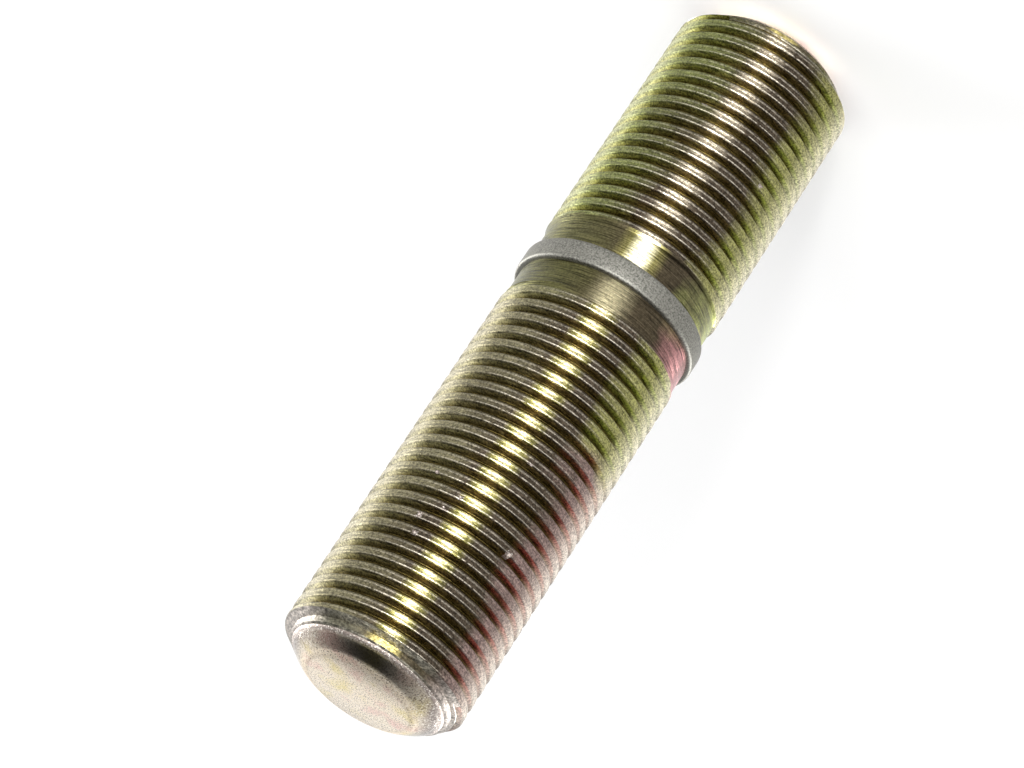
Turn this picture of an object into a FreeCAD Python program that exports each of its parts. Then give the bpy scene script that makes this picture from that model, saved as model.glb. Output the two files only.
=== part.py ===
# Headless wheel stud: one turned piece with a rolled thread on each end and a stop collar between them.
# Millimetres. The stud stands on the flat of its hub end at Z 0, and its axis is +Z.
# Each thread is a plain cylinder at its crests: the fine helical thread is not cut here.
import FreeCAD, Part
import os
import Sketcher

NODE = "wheel_stud"
PARTS_FOLDER = "parts"
FINDING_TOLERANCE = 1e-4

# Every size that can be chosen by itself: name, value and what it measures.
DRIVING_SIZES = [
    ("thread_diameter", 14.0, "both threads, over their crests"),
    ("hub_length", 24.0, "flat of the hub end to the collar"),
    ("nut_length", 33.75, "collar to the flat of the nut end"),
    ("collar_width", 1.75, "collar along the axis"),
    ("collar_rise", 0.2, "how far the collar stands above the crests, on the radius"),
    ("collar_round", 0.25, "rounding of the collar's two rims"),
    ("neck_length", 2.0, "plain neck between a thread and the collar"),
    ("neck_depth", 0.2, "how far a neck lies below the crests, on the radius"),
    ("runout_length", 0.45, "cone where a thread's crests run down to the neck"),
    ("end_length", 2.1, "flat of an end to the first full crest"),
    ("chamfer_depth", 1.2, "how far the chamfer of an end comes in from the crests, on the radius"),
    ("crown_height", 1.05, "height of the domed crown inside the chamfer"),
    ("crown_radius", 5.0, "radius of the crown's curve, seen in section"),
    ("flat_diameter", 8.0, "flat in the middle of each end"),
]


def make_sheet(document):
    sheet = document.addObject("Spreadsheet::Sheet", "sizes")
    for row, (alias, value, meaning) in enumerate(DRIVING_SIZES, start=1):
        sheet.set(f"A{row}", alias)
        sheet.set(f"B{row}", str(value))
        sheet.set(f"C{row}", meaning)
        sheet.setAlias(f"B{row}", alias)
    document.recompute()
    return sheet


# Half section of the stud from the foot up, as (radius, height) of each corner.
THREAD = "sizes.thread_diameter / 2"
NECK = f"{THREAD} - sizes.neck_depth"
COLLAR = f"{THREAD} + sizes.collar_rise"
CROWN = f"{THREAD} - sizes.chamfer_depth"
FLAT = "sizes.flat_diameter / 2"
COLLAR_TOP = "sizes.hub_length + sizes.collar_width"
TOP = f"{COLLAR_TOP} + sizes.nut_length"
OUTLINE = {
    "foot_centre": ("0", "0"),
    "foot_edge": (FLAT, "0"),
    "foot_crown": (CROWN, "sizes.crown_height"),
    "hub_thread_start": (THREAD, "sizes.end_length"),
    "hub_thread_end": (THREAD, "sizes.hub_length - sizes.neck_length - sizes.runout_length"),
    "hub_neck_start": (NECK, "sizes.hub_length - sizes.neck_length"),
    "hub_neck_end": (NECK, "sizes.hub_length"),
    "collar_low_rim": (COLLAR, "sizes.hub_length"),
    "collar_high_rim": (COLLAR, COLLAR_TOP),
    "nut_neck_start": (NECK, COLLAR_TOP),
    "nut_neck_end": (NECK, f"{COLLAR_TOP} + sizes.neck_length"),
    "nut_thread_start": (THREAD, f"{COLLAR_TOP} + sizes.neck_length + sizes.runout_length"),
    "nut_thread_end": (THREAD, f"{TOP} - sizes.end_length"),
    "tip_crown": (CROWN, f"{TOP} - sizes.crown_height"),
    "tip_edge": (FLAT, TOP),
    "tip_centre": ("0", TOP),
}
# The two stretches that are curved, by the corner where each starts; all others are straight.
CROWN_CURVES = ("foot_edge", "tip_crown")


def crown_curve(start, end, radius):
    """Arc from start to end that bulges away from the stud's middle."""
    chord = end - start
    half = chord.Length / 2
    sagitta = radius - (radius ** 2 - half ** 2) ** 0.5
    outward = FreeCAD.Vector(chord.y, -chord.x, 0).normalize()
    return Part.Arc(start, start + chord / 2 + outward * sagitta, end)


def place_corner(sketch, name, edge, value):
    """Fix the corner where an edge starts at its radius and height.

    In a sketch's constraints, point 1 of an edge is its start and 2 its end. The origin is point 1
    of -1, which is also the line across the stud's foot, and -2 is the stud's axis.
    """
    radius, height = OUTLINE[name]
    if value(radius) == 0:
        sketch.addConstraint(Sketcher.Constraint("PointOnObject", edge, 1, -2))
    else:
        index = sketch.addConstraint(Sketcher.Constraint("DistanceX", -1, 1, edge, 1, value(radius)))
        sketch.renameConstraint(index, f"{name}_radius")
        sketch.setExpression(f"Constraints.{name}_radius", radius)
    if value(height) == 0:
        sketch.addConstraint(Sketcher.Constraint("PointOnObject", edge, 1, -1))
    else:
        index = sketch.addConstraint(Sketcher.Constraint("DistanceY", -1, 1, edge, 1, value(height)))
        sketch.renameConstraint(index, f"{name}_height")
        sketch.setExpression(f"Constraints.{name}_height", height)


def draw_half_section(document, body):
    sketch = body.newObject("Sketcher::SketchObject", "half_section")
    plane = next(item for item in body.Origin.OriginFeatures if item.Role == "XZ_Plane")
    sketch.AttachmentSupport = [(plane, "")]
    sketch.MapMode = "FlatFace"
    document.recompute()

    def value(expression):
        return float(sketch.evalExpression(expression))

    names = list(OUTLINE)
    corners = [FreeCAD.Vector(value(radius), value(height), 0) for radius, height in OUTLINE.values()]
    crown_radius = value("sizes.crown_radius")
    for number, name in enumerate(names):
        start = corners[number]
        end = corners[(number + 1) % len(corners)]
        if name in CROWN_CURVES:
            sketch.addGeometry(crown_curve(start, end, crown_radius), False)
        else:
            sketch.addGeometry(Part.LineSegment(start, end), False)
    for edge in range(len(names)):
        following = (edge + 1) % len(names)
        sketch.addConstraint(Sketcher.Constraint("Coincident", edge, 2, following, 1))
    for edge, name in enumerate(names):
        place_corner(sketch, name, edge, value)
        if name in CROWN_CURVES:
            index = sketch.addConstraint(Sketcher.Constraint("Radius", edge, crown_radius))
            sketch.renameConstraint(index, f"{name}_curve")
            sketch.setExpression(f"Constraints.{name}_curve", "sizes.crown_radius")
    document.recompute()
    return sketch


def rings_at(shape, radius, heights):
    """Names of the whole circles of this radius at these heights."""
    found = []
    for number, edge in enumerate(shape.Edges, start=1):
        if not isinstance(edge.Curve, Part.Circle):
            continue
        near_radius = abs(edge.Curve.Radius - radius) < FINDING_TOLERANCE
        near_height = any(abs(edge.Curve.Center.z - height) < FINDING_TOLERANCE for height in heights)
        if near_radius and near_height:
            found.append(f"Edge{number}")
    return found


def round_rings(document, body, name, radius, heights, size):
    base = body.Tip
    fillet = body.newObject("PartDesign::Fillet", name)
    fillet.Base = (base, rings_at(base.Shape, radius, heights))
    fillet.setExpression("Radius", size)
    document.recompute()
    return fillet


def make_stud(document):
    body = document.addObject("PartDesign::Body", NODE)
    body.Label = NODE
    sketch = draw_half_section(document, body)
    turned = body.newObject("PartDesign::Revolution", "turned_stud")
    turned.Profile = sketch
    turned.ReferenceAxis = (sketch, ["V_Axis"])
    turned.Angle = 360.0
    document.recompute()
    sketch.Visibility = False
    collar_radius = float(sketch.evalExpression(COLLAR))
    collar_faces = [float(sketch.evalExpression(height)) for height in ("sizes.hub_length", COLLAR_TOP)]
    round_rings(document, body, "collar_rims", collar_radius, collar_faces, "sizes.collar_round")
    return body


def check(document, body):
    for item in document.Objects:
        if "Invalid" in item.State or "Error" in item.State:
            raise RuntimeError(f"{item.Label} failed to build: {item.State}")
    if body.Shape.isNull() or not body.Shape.isValid() or len(body.Shape.Solids) != 1:
        raise RuntimeError(f"{body.Label} is not one sound solid")


def main():
    document = FreeCAD.newDocument("wheel_stud_model")
    make_sheet(document)
    body = make_stud(document)
    document.recompute()
    check(document, body)
    os.makedirs(PARTS_FOLDER, exist_ok=True)
    body.Shape.exportStep(os.path.join(PARTS_FOLDER, f"{body.Label}.step"))
    box = body.Shape.optimalBoundingBox(True, False)
    print(f"{body.Label}: {box.XLength:.2f} x {box.YLength:.2f} x {box.ZLength:.2f} mm, "
          f"{body.Shape.Volume:.1f} mm3, {len(body.Shape.Faces)} faces")


main()
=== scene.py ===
"""Wheel stud with a rolled thread on each end, plated with zinc and passivated yellow.

Blender's lengths are metres and the sizes below are millimetres, turned by MM, where no comment
says otherwise. The stud stands on its hub end: the flat there is at Z 0 and the axis is +Z. The nut
end is on top, and the side toward -Y faces the camera.
"""
import math
from types import SimpleNamespace

import bpy
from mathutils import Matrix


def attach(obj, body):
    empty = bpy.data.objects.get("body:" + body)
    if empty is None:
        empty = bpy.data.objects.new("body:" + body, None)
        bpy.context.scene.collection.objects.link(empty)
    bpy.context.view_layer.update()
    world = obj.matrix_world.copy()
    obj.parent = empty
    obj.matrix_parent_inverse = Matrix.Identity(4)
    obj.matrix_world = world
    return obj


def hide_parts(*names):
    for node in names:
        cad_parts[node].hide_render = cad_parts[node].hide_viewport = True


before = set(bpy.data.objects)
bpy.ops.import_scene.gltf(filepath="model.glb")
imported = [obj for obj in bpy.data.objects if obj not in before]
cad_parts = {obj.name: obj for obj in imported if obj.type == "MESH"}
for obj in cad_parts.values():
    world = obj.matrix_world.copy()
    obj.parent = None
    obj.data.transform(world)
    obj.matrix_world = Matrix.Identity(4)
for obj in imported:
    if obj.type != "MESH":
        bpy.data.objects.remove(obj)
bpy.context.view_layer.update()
MM = 0.001

# Sizes of the stud, the same as its solid has.
CREST_RADIUS = 7.0
HUB_LENGTH = 24.0
COLLAR_WIDTH = 1.75
NUT_LENGTH = 33.75
COLLAR_RADIUS = 7.2
COLLAR_ROUND = 0.25
NECK_RADIUS = 6.8
NECK_LENGTH = 2.0
RUNOUT_LENGTH = 0.45
CHAMFER_DEPTH = 1.2
CROWN_HEIGHT = 1.05
CROWN_RADIUS = 5.0
FLAT_RADIUS = 4.0
COLLAR_TOP = HUB_LENGTH + COLLAR_WIDTH
TOP = COLLAR_TOP + NUT_LENGTH
HUB_NECK = HUB_LENGTH - NECK_LENGTH
NUT_NECK = COLLAR_TOP + NECK_LENGTH

# The thread: a wide rolled crest with rounded shoulders over a groove with 60 degrees between its
# walls, so the section turns by 60 degrees from a crest's flat to a wall.
PITCH = 1.25
CREST_FLAT = 0.40
CREST_DIP = 0.035
SHOULDER_ROUND = 0.17
ROOT_ROUND = 0.08
WALL_TURN = 60
# Height of one crest's upper shoulder, on each thread, at the angle that faces the camera.
NUT_SHOULDER = 56.27
HUB_SHOULDER = 11.70
FACING_ANGLE = -90

# A rod of thread is cut to limits that pass outside its crests and, at the neck, inside the neck.
CLEAR_OF_CREST = 0.05
INSIDE_NECK = 0.6
# Turns of thread that each rod has below its lower limit, and more than its length needs.
HUB_TURNS_BELOW = 1.5
HUB_SPARE_TURNS = 3
NUT_TURNS_BELOW = 2
NUT_SPARE_TURNS = 4

# The part between the rods tapers from its necks, so that the last grooves fade out against it, and
# then lies buried in the rods.
FADE_START = 0.1
FADE_LENGTH = 1.3
FADE_DEPTH = 0.5
BURIED_FROM = FADE_LENGTH + 1
BURIED_RADIUS = 5.5
BURIED_DEPTH = 4.0

# The crown has a rounded rim, and the chamfer cuts the first crest outside it to a ledge: their
# corners from the crown out, as (radius, depth), and the depths where the two end.
LEDGE = [(5.86, 1.10), (5.94, 1.20), (5.97, 1.28), (6.10, 1.31), (6.18, 1.37), (6.22, 1.80)]
LEDGE_END = 2.03
CROWN_RIM = 1.28

# Nicks in the crests, as (across, height, radius); each is on the side that faces the camera.
NICKS = [(-3.3, 47.45, 0.32), (2.9, 50.0, 0.2), (3.3, 48.6, 0.22), (2.2, 47.4, 0.16), (3.9, 45.1, 0.2),
         (1.6, 46.2, 0.15), (-1.2, 41.3, 0.16), (-4.1, 12.6, 0.18), (2.4, 9.9, 0.14)]
NICK_CENTRE_RADIUS = CREST_RADIUS + 0.08

# Steps of each rounding in a section, and of a whole turn.
ROUND_STEPS = 3
COLLAR_STEPS = 4
CROWN_STEPS = 6
TURN_STEPS = 96
LATHE_STEPS = 144
# Faces that meet at less than this many degrees are shaded as one.
SMOOTH_ANGLE = 28
# Corners nearer than this, in metres, are one corner.
SEAM = 1e-7
# How far off a face may be when its place tells what it belongs to.
SLACK = 0.01

# The film's colours change at these heights and distances across; a pair is (start, full).
THREAD_SPLIT = 37
NECK_SPLIT = 25.5
SPLIT_BLEND = 1
THREAD_MIDDLE = 2.8
NECK_MIDDLE = 3.9
MIDDLE_BLEND = 1.8
RIGHT_SIDE = (1.8, 5)
EDGE_WANDER = 1.5
GREENER = (30, 24)
# Heights where the necks' painted highlight turns almost white, going down.
NECK_HIGHLIGHT_HEIGHTS = (25, 24)
# A strip up the stud, this far across, in front and behind, is painted lighter as a painted highlight. What
# start_metal
# # calls aside is the distance from it.
HIGHLIGHT_ACROSS = 0.45
# Radii of the thread, as (start, full). The first pair is where the roots of the grooves are painted darker,
# as painted shade.
ROOT_SHADE = (6.8, 6.5)
CREST_SIDE = (6.86, 6.92)
CREST_TOP = (6.975, 6.994)
# Just outside the flat of an end there is a crease, and the crown slopes down from there to its edge.
CREASE_RADIUS = FLAT_RADIUS + 0.35
CROWN_SLOPE = (4.4, 5.4)
CROWN_EDGE = (5.65, 5.85)

# A noise's values lie mostly in the first span. The second is narrower, for stronger speckles.
NOISE_SPAN = (0.3, 0.7)
SPECKLE_SPAN = (0.35, 0.65)
# Sockets of a Mix node for colours, where a name alone finds the sockets for numbers.
MIX_AMOUNT, MIX_UNDER, MIX_OVER, MIX_RESULT = 0, 6, 7, 2
# Quarter of a turn, so that highlights are stretched along the axis.
STRETCH_TURN = 0.25

# A white tent stands round the stud: the direction of its opening, and how the cloth dims toward
# it, as (start, full, colour).
OPENING = (0.14, 0, 0.99)
TENT = [(0.52, 0.66, "#A8A8A8"), (0.66, 0.86, "#707070"), (0.86, 0.94, "#303030"), (0.94, 1.0, "#101010")]
TENT_STRENGTH = 1.05
# Lamps, as (name, azimuth, elevation, width, height, watts). Their sizes and distance are metres.
LAMPS = [("key_lamp", -78, 32, 0.95, 0.35, 4.4), ("low_lamp", -81, 7, 0.07, 0.2, 4.4),
         ("left_lamp", 38, 7, 0.6, 0.2, 6.6), ("right_lamp", -218, 7, 0.6, 0.2, 5.6)]
LAMP_DISTANCE = 0.8
# Metres across the paper that the stud stands on.
FLOOR_SIZE = 6

# The photograph's camera. Its lens and sensor are the millimetres that a camera is described by.
CAMERA_AIM = (2.912, 33.6)
CAMERA_DISTANCE = 342.76
CAMERA_ELEVATION = 25.969
CAMERA_ROLL = -146.507
CAMERA_LENS = 172.136
CAMERA_SENSOR = 36
CAMERA_NEAREST = 10


def arc(centre, radius, start, end, steps):
    """Points on an arc of the (radius, height) plane, without its first one."""
    points = []
    for step in range(1, steps + 1):
        angle = math.radians(start + (end - start) * step / steps)
        points.append((centre[0] + radius * math.cos(angle), centre[1] + radius * math.sin(angle)))
    return points


def bulge(start, end, radius, steps):
    """Points on an outward arc between two corners, both left out."""
    chord = (end[0] - start[0], end[1] - start[1])
    length = math.hypot(*chord)
    outward = (chord[1] / length, -chord[0] / length)
    drop = math.sqrt(radius ** 2 - (length / 2) ** 2)
    centre = (start[0] + chord[0] / 2 - outward[0] * drop, start[1] + chord[1] / 2 - outward[1] * drop)
    first = math.degrees(math.atan2(start[1] - centre[1], start[0] - centre[0]))
    last = math.degrees(math.atan2(end[1] - centre[1], end[0] - centre[0]))
    return arc(centre, radius, first, last, steps)[:-1]


def start_editing(piece):
    bpy.ops.object.select_all(action="DESELECT")
    piece.select_set(True)
    bpy.context.view_layer.objects.active = piece
    bpy.ops.object.mode_set(mode="EDIT")
    bpy.ops.mesh.select_all(action="SELECT")


def close_and_turn_outwards():
    """End the editing of a piece: join its seams and make its faces point outwards."""
    bpy.ops.mesh.select_all(action="SELECT")
    bpy.ops.mesh.remove_doubles(threshold=SEAM)
    bpy.ops.mesh.normals_make_consistent(inside=False)
    bpy.ops.object.mode_set(mode="OBJECT")


def apply_modifier(piece, modifier):
    bpy.ops.object.select_all(action="DESELECT")
    bpy.context.view_layer.objects.active = piece
    bpy.ops.object.modifier_apply(modifier=modifier.name)


def combine(piece, other, operation):
    """Cut a piece to another's shape, join the two, or take one from the other."""
    modifier = piece.modifiers.new(operation.lower(), "BOOLEAN")
    modifier.operation = operation
    modifier.solver = "EXACT"
    modifier.object = other
    apply_modifier(piece, modifier)
    bpy.data.objects.remove(other)
    start_editing(piece)
    close_and_turn_outwards()


def turned(name, section):
    """Solid of revolution: a ring drawn up and sized along its half section, then closed."""
    bpy.ops.object.select_all(action="DESELECT")
    radius, height = section[0]
    bpy.ops.mesh.primitive_circle_add(vertices=LATHE_STEPS, radius=radius * MM, location=(0, 0, 0))
    piece = bpy.context.active_object
    piece.name = name
    start_editing(piece)
    bpy.ops.transform.translate(value=(0, 0, height * MM))
    for next_radius, next_height in section[1:]:
        rise = (next_height - height) * MM
        bpy.ops.mesh.extrude_edges_move(TRANSFORM_OT_translate={"value": (0, 0, rise)})
        grow = next_radius / radius
        bpy.ops.transform.resize(value=(grow, grow, 1), center_override=(0, 0, next_height * MM))
        radius, height = next_radius, next_height
    bpy.ops.mesh.select_all(action="SELECT")
    bpy.ops.mesh.fill_holes(sides=0)
    close_and_turn_outwards()
    return piece


def one_pitch():
    """Half section of one crest from the middle of a root to the next, as (radius, height)."""
    half_flat = CREST_FLAT / 2
    shoulder_centre = (CREST_RADIUS - SHOULDER_ROUND, half_flat)
    shoulder = [(CREST_RADIUS, half_flat)]
    shoulder += arc(shoulder_centre, SHOULDER_ROUND, 0, WALL_TURN, ROUND_STEPS)
    turn = math.radians(WALL_TURN)
    reach = ROOT_ROUND * math.sin(turn)
    edge_radius, edge_height = shoulder[-1]
    wall_rise = PITCH / 2 - reach - edge_height
    root_edge = edge_radius - wall_rise * math.tan(turn)
    root_centre = (root_edge + ROOT_ROUND * math.cos(turn), PITCH / 2)
    root = [(root_edge, PITCH / 2 - reach)]
    root += arc(root_centre, ROOT_ROUND, 180 + WALL_TURN, 180, ROUND_STEPS)
    upper = shoulder + root
    lower = [(radius, -height) for radius, height in reversed(upper)]
    slopes = [(CREST_RADIUS - CREST_DIP / 2, side * half_flat / 2) for side in (-1, 1)]
    return lower + [slopes[0], (CREST_RADIUS - CREST_DIP, 0), slopes[1]] + upper


def rolled_rod(name, bottom, turns, shoulder_height):
    """Closed rod with a right-hand thread: one crest's section, screwed up the axis."""
    section = one_pitch()
    shoulder_above_middle = CREST_FLAT / 2 + SHOULDER_ROUND * math.sin(math.radians(WALL_TURN)) / 2
    middle = shoulder_height - shoulder_above_middle - PITCH * FACING_ANGLE / 360
    middle -= math.floor((middle - bottom) / PITCH) * PITCH
    bpy.ops.object.select_all(action="DESELECT")
    bpy.ops.mesh.primitive_plane_add(size=MM, location=(0, 0, 0))
    piece = bpy.context.active_object
    piece.name = name
    start_editing(piece)
    bpy.ops.mesh.merge(type="CENTER")
    radius, height = section[0]
    bpy.ops.transform.translate(value=(radius * MM, 0, (middle + height) * MM))
    for next_radius, next_height in section[1:]:
        step = ((next_radius - radius) * MM, 0, (next_height - height) * MM)
        bpy.ops.mesh.extrude_region_move(TRANSFORM_OT_translate={"value": step})
        radius, height = next_radius, next_height
    bpy.ops.object.mode_set(mode="OBJECT")
    screw = piece.modifiers.new("screw", "SCREW")
    screw.axis = "Z"
    screw.angle = math.tau
    screw.screw_offset = PITCH * MM
    screw.iterations = turns
    screw.steps = TURN_STEPS
    screw.render_steps = TURN_STEPS
    screw.use_merge_vertices = True
    screw.merge_threshold = SEAM
    apply_modifier(piece, screw)
    for end_height in (middle - PITCH / 2, middle + (turns + 0.5) * PITCH):
        close_rod_end(piece, end_height)
    return piece


def close_rod_end(piece, end_height):
    """Draw the open edge at one end of the rod, a turn that climbs a pitch, in to one point."""
    start_editing(piece)
    bpy.ops.mesh.remove_doubles(threshold=SEAM)
    bpy.ops.mesh.select_all(action="DESELECT")
    bpy.ops.mesh.select_mode(type="VERT")
    bpy.ops.mesh.select_non_manifold(extend=False)
    bpy.ops.object.mode_set(mode="OBJECT")
    # The open edge climbs one pitch, so all of it is nearer than this to the height of the rod's end.
    reach = 1.1 * PITCH * MM
    vertices = piece.data.vertices
    for edge in piece.data.edges:
        near = all(abs(vertices[index].co.z - end_height * MM) < reach for index in edge.vertices)
        edge.select = edge.select and near
    for vertex in vertices:
        vertex.select = vertex.select and abs(vertex.co.z - end_height * MM) < reach
    bpy.ops.object.mode_set(mode="EDIT")
    bpy.ops.mesh.extrude_edges_move(TRANSFORM_OT_translate={"value": (0, 0, 0)})
    bpy.ops.mesh.merge(type="CENTER")
    close_and_turn_outwards()


def end_section():
    """Flat, domed crown and chamfer of an end, from the flat out, as (radius, depth)."""
    flat_edge = (FLAT_RADIUS, 0)
    crown_edge = (CREST_RADIUS - CHAMFER_DEPTH, CROWN_HEIGHT)
    crown = [flat_edge] + bulge(flat_edge, crown_edge, CROWN_RADIUS, CROWN_STEPS) + [crown_edge]
    return crown + LEDGE + [(CREST_RADIUS + CLEAR_OF_CREST, LEDGE_END)]


def run_out_section():
    """Where the crests run down to the neck, as (radius, distance into the neck)."""
    steepness = RUNOUT_LENGTH / (CREST_RADIUS - NECK_RADIUS)
    inside = NECK_RADIUS - INSIDE_NECK
    beyond = CREST_RADIUS + CLEAR_OF_CREST
    return [(beyond, -(beyond - NECK_RADIUS) * steepness), (inside, (NECK_RADIUS - inside) * steepness)]


def hub_thread():
    turns = math.ceil(HUB_NECK / PITCH) + HUB_SPARE_TURNS
    rod = rolled_rod("hub_thread", -HUB_TURNS_BELOW * PITCH, turns, HUB_SHOULDER)
    limits = end_section() + [(radius, HUB_NECK + into) for radius, into in run_out_section()]
    combine(rod, turned("hub_limits", limits), "INTERSECT")
    return rod


def nut_thread():
    turns = math.ceil((TOP - NUT_NECK) / PITCH) + NUT_SPARE_TURNS
    rod = rolled_rod("nut_thread", NUT_NECK - NUT_TURNS_BELOW * PITCH, turns, NUT_SHOULDER)
    limits = [(radius, NUT_NECK - into) for radius, into in reversed(run_out_section())]
    limits += [(radius, TOP - depth) for radius, depth in reversed(end_section())]
    combine(rod, turned("nut_limits", limits), "INTERSECT")
    return rod


def collar_and_necks():
    """The part between the threads: the collar, a neck on each side of it and the tapers."""
    faded = CREST_RADIUS - FADE_DEPTH
    taper = [(BURIED_RADIUS, BURIED_FROM), (faded, FADE_LENGTH), (NECK_RADIUS, FADE_START)]
    rim = COLLAR_RADIUS - COLLAR_ROUND
    section = [(BURIED_RADIUS, BURIED_DEPTH)]
    section += [(radius, HUB_NECK - away) for radius, away in taper]
    section += [(NECK_RADIUS, HUB_LENGTH), (rim, HUB_LENGTH)]
    section += arc((rim, HUB_LENGTH + COLLAR_ROUND), COLLAR_ROUND, -90, 0, COLLAR_STEPS)
    section += [(COLLAR_RADIUS, COLLAR_TOP - COLLAR_ROUND)]
    section += arc((rim, COLLAR_TOP - COLLAR_ROUND), COLLAR_ROUND, 0, 90, COLLAR_STEPS)
    section += [(NECK_RADIUS, COLLAR_TOP)]
    section += [(radius, NUT_NECK + away) for radius, away in reversed(taper)]
    section += [(BURIED_RADIUS, TOP - BURIED_DEPTH)]
    return turned("wheel_stud_dressed", section)


def nick_centre(across, height):
    """Middle of a nick, on the side that faces the camera."""
    return across, -math.sqrt(NICK_CENTRE_RADIUS ** 2 - across ** 2), height


def make_stud():
    stud = collar_and_necks()
    combine(stud, hub_thread(), "UNION")
    combine(stud, nut_thread(), "UNION")
    for across, height, radius in NICKS:
        bpy.ops.object.select_all(action="DESELECT")
        centre = [value * MM for value in nick_centre(across, height)]
        bpy.ops.mesh.primitive_ico_sphere_add(subdivisions=2, radius=radius * MM, location=centre)
        combine(stud, bpy.context.active_object, "DIFFERENCE")
    bpy.ops.object.select_all(action="DESELECT")
    stud.select_set(True)
    bpy.context.view_layer.objects.active = stud
    bpy.ops.object.shade_smooth_by_angle(angle=math.radians(SMOOTH_ANGLE))
    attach(stud, "root")
    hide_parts("wheel_stud")
    return stud


def linear(colour):
    """Scene colour of an sRGB hex code."""
    channels = [int(colour[start:start + 2], 16) / 255 for start in (1, 3, 5)]
    return [c / 12.92 if c <= 0.04045 else ((c + 0.055) / 1.055) ** 2.4 for c in channels] + [1]


def add_node(tree, kind, settings=None, links=None):
    """A node with its settings, and for each input a value, a hex code or the output that feeds it."""
    node = tree.nodes.new(kind)
    for name, value in (settings or {}).items():
        setattr(node, name, value)
    for name, value in (links or {}).items():
        if isinstance(value, bpy.types.NodeSocket):
            tree.links.new(value, node.inputs[name])
        else:
            node.inputs[name].default_value = linear(value) if isinstance(value, str) else value
    return node


def start_metal(name):
    """New metal and what its looks hang on: a face's place in millimetres, and how far it faces up."""
    material = bpy.data.materials.new(name)
    material.use_nodes = True
    tree = material.node_tree
    shader = tree.nodes["Principled BSDF"]
    shader.inputs["Metallic"].default_value = 1
    found = add_node(tree, "ShaderNodeTexCoord").outputs
    scaled = add_node(tree, "ShaderNodeVectorMath", {"operation": "SCALE"}, {
        0: found["Object"], "Scale": 1 / MM})
    place = scaled.outputs[0]
    parts = add_node(tree, "ShaderNodeSeparateXYZ", {}, {0: place})
    facing = add_node(tree, "ShaderNodeSeparateXYZ", {}, {0: found["Normal"]})
    level = add_node(tree, "ShaderNodeVectorMath", {"operation": "MULTIPLY"}, {0: place, 1: (1, 1, 0)})
    radius = add_node(tree, "ShaderNodeVectorMath", {"operation": "LENGTH"}, {0: level.outputs[0]})
    offset = add_node(tree, "ShaderNodeMath", {"operation": "SUBTRACT"}, {
        0: parts.outputs["X"], 1: HIGHLIGHT_ACROSS})
    aside = add_node(tree, "ShaderNodeMath", {"operation": "ABSOLUTE"}, {0: offset.outputs[0]})
    return SimpleNamespace(
        material=material, tree=tree, shader=shader, place=place, across=parts.outputs["X"],
        height=parts.outputs["Z"], upward=facing.outputs["Z"], radius=radius.outputs["Value"],
        aside=aside.outputs[0])


def marks(skin, length, width, detail):
    """Cloudy pattern with marks of a length round the axis and a width along it, in millimetres.

    At the camera's distance a pixel is about 0.06 mm, so marks that are finer on the real stud are
    drawn 0.09 to 0.16 mm wide, as coarse as they have to be to show.
    """
    shrink = (1 / length, 1 / length, 1 / width)
    mapping = add_node(skin.tree, "ShaderNodeMapping", {}, {"Vector": skin.place, "Scale": shrink})
    noise = add_node(skin.tree, "ShaderNodeTexNoise", {}, {
        "Vector": mapping.outputs["Vector"], "Scale": 1, "Detail": detail})
    return noise.outputs["Fac"]


def tinted(tree, colour, tints):
    """Colour with others laid over it, each as (value, where it starts, where it is full, colour)."""
    for value, start, full, tint in tints:
        amount = add_node(tree, "ShaderNodeMapRange", {}, {
            "Value": value, "From Min": start, "From Max": full})
        mix = add_node(tree, "ShaderNodeMix", {"data_type": "RGBA"}, {
            MIX_AMOUNT: amount.outputs["Result"], MIX_UNDER: colour, MIX_OVER: tint})
        colour = mix.outputs[MIX_RESULT]
    return colour


def speckled(skin, colour, pattern, darkest, lightest):
    """Colour made darker and lighter by a pattern."""
    start, full = SPECKLE_SPAN
    factor = add_node(skin.tree, "ShaderNodeMapRange", {}, {
        "Value": pattern, "From Min": start, "From Max": full, "To Min": darkest, "To Max": lightest})
    product = add_node(skin.tree, "ShaderNodeVectorMath", {"operation": "SCALE"}, {
        0: colour, "Scale": factor.outputs["Result"]})
    return product.outputs[0]


def film_colour(skin, split, edge, middle, right, upper, lower):
    """Film with one tint in the middle and one on +X, and on -X one above a split and one below it."""
    start, full = NOISE_SPAN
    wander = add_node(skin.tree, "ShaderNodeMapRange", {}, {
        "Value": marks(skin, 5, 8, 4), "From Min": start, "From Max": full,
        "To Min": -EDGE_WANDER, "To Max": EDGE_WANDER}).outputs["Result"]
    side, higher = [
        add_node(skin.tree, "ShaderNodeMath", {"operation": "ADD"}, {0: value, 1: wander}).outputs[0]
        for value in (skin.across, skin.height)]
    left = tinted(skin.tree, lower, [(higher, split - SPLIT_BLEND, split + SPLIT_BLEND, upper)])
    return tinted(skin.tree, middle, [(side, -edge, -edge - MIDDLE_BLEND, left), (side, *RIGHT_SIDE, right)])


def lay_gloss(skin, pattern, smoothest, roughest, depth, stretch):
    """Gloss and relief from a pattern, with highlights stretched along the axis by lines round it."""
    start, full = NOISE_SPAN
    relief = add_node(skin.tree, "ShaderNodeBump", {}, {"Height": pattern, "Distance": depth * MM})
    rough = add_node(skin.tree, "ShaderNodeMapRange", {}, {
        "Value": pattern, "From Min": start, "From Max": full, "To Min": smoothest, "To Max": roughest})
    tangent = add_node(skin.tree, "ShaderNodeTangent", {"direction_type": "RADIAL", "axis": "Z"})
    skin.tree.links.new(relief.outputs["Normal"], skin.shader.inputs["Normal"])
    skin.tree.links.new(rough.outputs["Result"], skin.shader.inputs["Roughness"])
    skin.tree.links.new(tangent.outputs["Tangent"], skin.shader.inputs["Tangent"])
    skin.shader.inputs["Anisotropic"].default_value = stretch
    skin.shader.inputs["Anisotropic Rotation"].default_value = STRETCH_TURN


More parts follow.
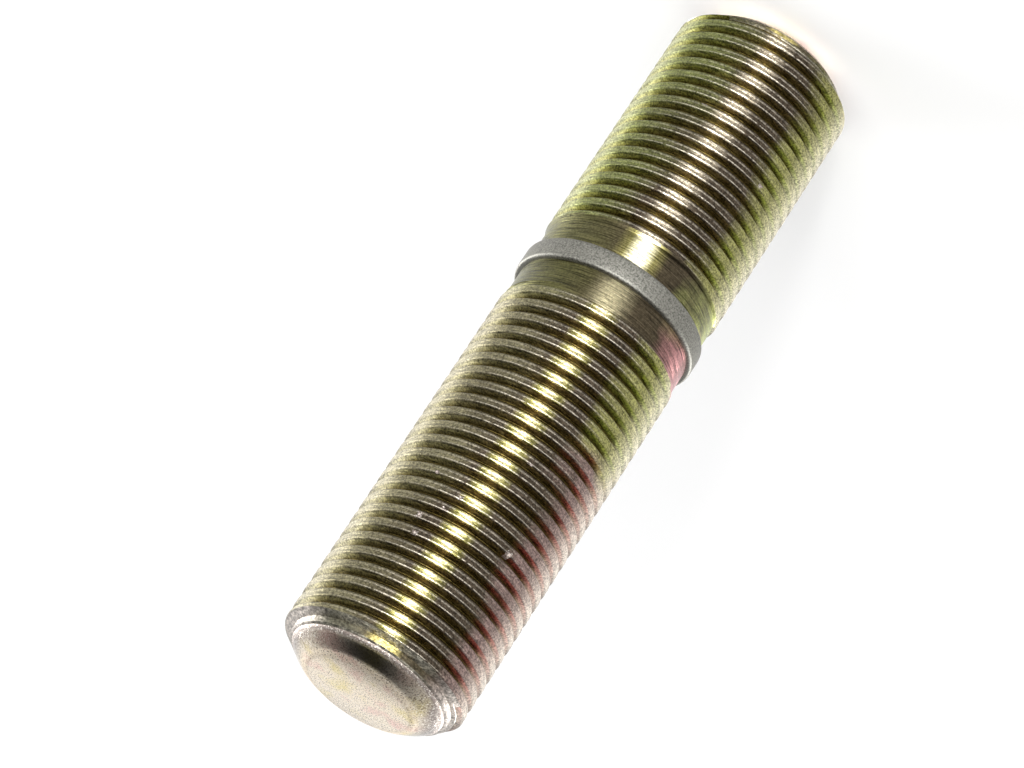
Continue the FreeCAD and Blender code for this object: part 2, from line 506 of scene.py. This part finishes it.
def crest_colour(skin):
    """Film on the crests, with a painted highlight along a strip in front, and upper lips painted bright in
    front, also a painted highlight, broken up by a noise pattern.
    """
    green = tinted(skin.tree, "#7C765C", [(skin.height, *GREENER, "#787C4C")])
    film = film_colour(skin, THREAD_SPLIT, THREAD_MIDDLE, "#4C4338", green, "#84706A", "#8C8A56")
    # A strip in front is painted lighter as a painted highlight, greyer on the hub thread.
    highlight_colour = tinted(skin.tree, "#807C40", [
        (skin.aside, 0.8, 0.1, "#C4B88A"), (skin.height, 30, 22, "#8C8270")])
    film = tinted(skin.tree, film, [(skin.aside, 1.4, 0.5, highlight_colour)])
    # The upper lips are painted bright in front as a painted highlight, with gaps from a noise pattern.
    lip_highlight = tinted(skin.tree, film, [(skin.upward, -0.05, 0.3, "#D6CEBE")])
    highlight_gaps = marks(skin, 0.4, 0.25, 2)
    lit_lips = tinted(skin.tree, film, [(skin.aside, 5.2, 2.6, lip_highlight), (highlight_gaps, 0.42, 0.34, film)])
    return tinted(skin.tree, film, [(skin.radius, *CREST_TOP, lit_lips)])


def thread_metal():
    """Zinc-plated steel with a yellow film, rolled to a thread.

    The film is thick and dark olive in the grooves and thin on the crests, and the roots of the
    grooves are painted darker still, as painted shade. Rolling leaves fine lines round the crests,
    which catch the light, and the film has a fine grain. Both sides of the stud, left and right as
    the camera sees them, are painted pale as a painted sheen, and they are rougher.
    """
    skin = start_metal("yellow_passivated_rolled_thread")
    green = tinted(skin.tree, "#8C8662", [(skin.height, *GREENER, "#8E8E4E")])
    groove = film_colour(skin, THREAD_SPLIT, THREAD_MIDDLE, "#5E5030", green, "#8A4C42", "#868C40")
    # The roots of the grooves are painted darker, as painted shade.
    colour = tinted(skin.tree, groove, [
        (skin.radius, *ROOT_SHADE, "#463C1E"), (skin.radius, *CREST_SIDE, crest_colour(skin)),
        # Both sides, left and right as the camera sees them, are painted pale, as painted sheen.
        (skin.aside, 5.4, 7.8, "#948F84")])
    lines = marks(skin, 0.9, 0.09, 5)
    colour = speckled(skin, colour, marks(skin, 0.14, 0.14, 2), 0.5, 1.5)
    colour = speckled(skin, colour, lines, 0.75, 1.25)
    skin.tree.links.new(colour, skin.shader.inputs["Base Color"])
    smoothest, roughest = [
        add_node(skin.tree, "ShaderNodeMapRange", {}, {
            "Value": skin.aside, "From Min": 5.1, "From Max": 6.3,
            "To Min": front, "To Max": side}).outputs["Result"]
        for front, side in ((0.22, 0.55), (0.38, 0.7))]
    lay_gloss(skin, lines, smoothest, roughest, 0.03, 0.8)
    return skin.material


def ledge_metal():
    """The same metal where the chamfer cuts down the first crest.

    It is scuffed by handling and looks grey. A yellow band in front and the upper lip there are painted
    highlight, and the paler sides, left and right as the camera sees them, are painted sheen.
    """
    skin = start_metal("yellow_passivated_first_crest")
    film = film_colour(skin, THREAD_SPLIT, THREAD_MIDDLE, "#5C5444", "#7E7C6C", "#9C8C84", "#8A8A5C")
    # A yellow band in front is a painted highlight.
    film = tinted(skin.tree, film, [(skin.aside, 1.5, 0.7, "#A89C64")])
    # The upper lip is painted bright in front as a painted highlight, and both sides are painted pale as
    # painted sheen.
    ledge_lip_highlight = tinted(skin.tree, film, [(skin.upward, 0.1, 0.4, "#D0CAB8")])
    film = tinted(skin.tree, film, [(skin.aside, 4.4, 2.6, ledge_lip_highlight), (skin.aside, 3.9, 5.6, "#B0A8A0")])
    scuffs = marks(skin, 0.5, 0.12, 4)
    colour = speckled(skin, film, marks(skin, 0.16, 0.16, 2), 0.55, 1.45)
    colour = speckled(skin, colour, scuffs, 0.7, 1.3)
    skin.tree.links.new(colour, skin.shader.inputs["Base Color"])
    lay_gloss(skin, scuffs, 0.26, 0.46, 0.05, 0.7)
    return skin.material


def neck_metal():
    """The same metal, turned on a lathe.

    The tool leaves fine lines round the necks. Along the front a strip is painted lighter as a painted
    highlight: a little lighter above the collar, and almost white below it.
    """
    skin = start_metal("yellow_passivated_turned_neck")
    film = film_colour(skin, NECK_SPLIT, NECK_MIDDLE, "#4A4234", "#5C5A3A", "#A87878", "#8E9258")
    # A strip in front is painted lighter as a painted highlight, almost white below the collar.
    highlight_colour = tinted(skin.tree, "#8C8650", [(skin.aside, 1.1, 0.2, "#FCF4D4")])
    highlight_strip = tinted(skin.tree, "#6E6852", [(skin.height, *NECK_HIGHLIGHT_HEIGHTS, highlight_colour)])
    film = tinted(skin.tree, film, [(skin.aside, 1.9, 0.7, highlight_strip)])
    lines = marks(skin, 2.2, 0.09, 5)
    colour = speckled(skin, film, lines, 0.45, 1.55)
    colour = speckled(skin, colour, marks(skin, 0.16, 0.16, 2), 0.75, 1.25)
    skin.tree.links.new(colour, skin.shader.inputs["Base Color"])
    lay_gloss(skin, lines, 0.24, 0.4, 0.04, 0.75)
    return skin.material


def collar_metal():
    """Zinc-plated steel, turned, with so little film that the collar looks a plain matt grey."""
    skin = start_metal("grey_zinc_on_turned_collar")
    grain = marks(skin, 0.13, 0.11, 3)
    colour = tinted(skin.tree, "#54544E", [(grain, *NOISE_SPAN, "#96948C")])
    skin.tree.links.new(colour, skin.shader.inputs["Base Color"])
    lay_gloss(skin, grain, 0.42, 0.6, 0.014, 0.0)
    return skin.material


def end_metal():
    """Zinc-plated steel, sheared off and domed, also seen inside the nicks.

    It looks pale and finely pitted, with a few faint stains. It is glossier than the threads, apart
    from the crease round the flat and the crown's edge, which are dull.
    """
    skin = start_metal("pale_zinc_on_sheared_end")
    stains = marks(skin, 3, 3, 3)
    film = tinted(skin.tree, "#F0E2CC", [(stains, 0.52, 0.68, "#ECDCA4"), (stains, 0.46, 0.34, "#EAC8BA")])
    # The crown's slope is painted darker toward both sides, as the camera sees them, as painted shade that
    # dims the lamps' reflections there.
    shaded_crown_slope = tinted(skin.tree, film, [(skin.aside, 3.6, 5.2, "#9C928C")])
    film = tinted(skin.tree, film, [
        (skin.radius, *CROWN_SLOPE, shaded_crown_slope), (skin.radius, *CROWN_EDGE, "#8A807A")])
    pits = marks(skin, 0.11, 0.11, 4)
    colour = tinted(skin.tree, "#7A6C62", [(pits, 0.34, 0.46, film), (pits, 0.56, 0.68, "#FAF4E8")])
    skin.tree.links.new(colour, skin.shader.inputs["Base Color"])
    offset = add_node(skin.tree, "ShaderNodeMath", {"operation": "SUBTRACT"}, {
        0: skin.radius, 1: CREASE_RADIUS})
    from_crease = add_node(skin.tree, "ShaderNodeMath", {"operation": "ABSOLUTE"}, {0: offset.outputs[0]})
    crease = add_node(skin.tree, "ShaderNodeMapRange", {}, {
        "Value": from_crease.outputs[0], "From Min": 0.5, "From Max": 0.2, "To Min": 0.18, "To Max": 0.55})
    edge = add_node(skin.tree, "ShaderNodeMapRange", {}, {
        "Value": skin.radius, "From Min": 5.6, "From Max": 5.8, "To Min": 0.18, "To Max": 0.5})
    rough = add_node(skin.tree, "ShaderNodeMath", {"operation": "MAXIMUM"}, {
        0: crease.outputs["Result"], 1: edge.outputs["Result"]}).outputs[0]
    # The pits change the relief and not the gloss, so it is the same at both ends of their span.
    lay_gloss(skin, pits, rough, rough, 0.012, 0.0)
    return skin.material


def in_nick(x, y, z):
    """Whether a place is on the inside of a nick."""
    for across, height, radius in NICKS:
        if math.dist((x, y, z), nick_centre(across, height)) < radius + SLACK:
            return True
    return False


def metal_at(x, y, z):
    """Name of the metal that a face at this place has."""
    radius = math.hypot(x, y)
    depth = min(z, TOP - z)
    if depth < CROWN_RIM or in_nick(x, y, z):
        return "end"
    if depth < LEDGE_END and radius < CREST_RADIUS - CLEAR_OF_CREST:
        return "ledge"
    if HUB_LENGTH - SLACK < z < COLLAR_TOP + SLACK and radius > NECK_RADIUS + SLACK:
        return "collar"
    if HUB_NECK - RUNOUT_LENGTH < z < NUT_NECK + RUNOUT_LENGTH and radius < CREST_RADIUS - SLACK:
        return "neck"
    return "thread"


def finish_stud(stud):
    metals = {"thread": thread_metal(), "neck": neck_metal(), "collar": collar_metal(), "end": end_metal(),
              "ledge": ledge_metal()}
    for metal in metals.values():
        stud.data.materials.append(metal)
    order = list(metals)
    for face in stud.data.polygons:
        face.material_index = order.index(metal_at(*(value / MM for value in face.center)))


def make_floor():
    """White matt paper under the stud, which shows as a plain pale ground with a soft shadow."""
    bpy.ops.object.select_all(action="DESELECT")
    bpy.ops.mesh.primitive_plane_add(size=FLOOR_SIZE, location=(0, 0, 0))
    floor = bpy.context.active_object
    floor.name = "floor"
    paper = bpy.data.materials.new("white_matt_paper")
    paper.use_nodes = True
    shader = paper.node_tree.nodes["Principled BSDF"]
    shader.inputs["Base Color"].default_value = linear("#F9F9F9")
    shader.inputs["Roughness"].default_value = 0.9
    floor.data.materials.append(paper)


def make_world():
    """Bright round the horizon and dim overhead, as a white tent with its top open."""
    world = bpy.data.worlds.new("studio")
    bpy.context.scene.world = world
    world.use_nodes = True
    tree = world.node_tree
    background = tree.nodes["Background"]
    place = add_node(tree, "ShaderNodeTexCoord").outputs["Generated"]
    height = add_node(tree, "ShaderNodeVectorMath", {"operation": "DOT_PRODUCT"}, {0: place, 1: OPENING})
    cloth = tinted(tree, "#FFFFFF", [(height.outputs["Value"], *step) for step in TENT])
    tree.links.new(cloth, background.inputs["Color"])
    background.inputs["Strength"].default_value = TENT_STRENGTH


def add_lamp(name, azimuth, elevation, width, height, watts):
    """Soft lamp aimed at the middle of the stud, from an azimuth about the axis."""
    data = bpy.data.lights.new(name, "AREA")
    data.shape = "RECTANGLE"
    data.size = width
    data.size_y = height
    data.energy = watts
    lamp = bpy.data.objects.new(name, data)
    bpy.context.collection.objects.link(lamp)
    turn = math.radians(azimuth)
    lift = math.radians(elevation)
    level = LAMP_DISTANCE * math.cos(lift)
    above = LAMP_DISTANCE * math.sin(lift) + TOP / 2 * MM
    lamp.location = (level * math.cos(turn), level * math.sin(turn), above)
    lamp.rotation_euler = (math.radians(90) - lift, 0, turn + math.radians(90))


def place_camera():
    """Camera with a long lens that looks down on the standing stud and is rolled over."""
    data = bpy.data.cameras.new("camera")
    data.lens = CAMERA_LENS
    data.sensor_width = CAMERA_SENSOR
    data.clip_start = CAMERA_NEAREST * MM
    camera = bpy.data.objects.new("camera", data)
    bpy.context.collection.objects.link(camera)
    elevation = math.radians(CAMERA_ELEVATION)
    across, height = CAMERA_AIM
    back = CAMERA_DISTANCE * math.cos(elevation)
    above = height + CAMERA_DISTANCE * math.sin(elevation)
    camera.location = (across * MM, -back * MM, above * MM)
    camera.rotation_mode = "ZYX"
    camera.rotation_euler = (math.radians(90) - elevation, 0, math.radians(CAMERA_ROLL))
    bpy.context.scene.camera = camera


finish_stud(make_stud())
make_floor()
make_world()
for lamp_sizes in LAMPS:
    add_lamp(*lamp_sizes)
place_camera()
bpy.context.scene.view_settings.view_transform = "Standard"
